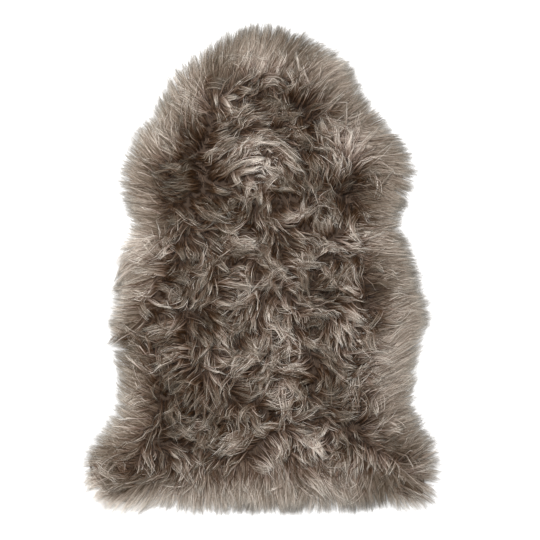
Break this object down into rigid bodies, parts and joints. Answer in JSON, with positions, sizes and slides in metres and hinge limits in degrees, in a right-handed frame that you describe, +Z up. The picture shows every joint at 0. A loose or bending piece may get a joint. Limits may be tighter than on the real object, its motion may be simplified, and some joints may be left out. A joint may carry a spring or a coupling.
{
  "type": "sheepskin rug",
  "caption": "Flat-lying pelt-shaped sheepskin rug: a thin tanned hide with long, lumpy, tufted wool whose combed locks reach past the hide all round.",
  "frame": {"origin": "on the floor, under the middle of the wool's bounding box", "axes": "+Z up from the floor, +Y from the tail edge towards the neck, +X to the right side as seen from above with the neck at the top"},
  "size_m": [0.685, 0.95, 0.07],
  "materials": {
    "tanned_leather": "matte",
    "taupe_wool": "soft"
  },
  "bodies": {
    "root": {"hide": "tanned_leather", "fleece": "taupe_wool"}
  },
  "joints": []
}
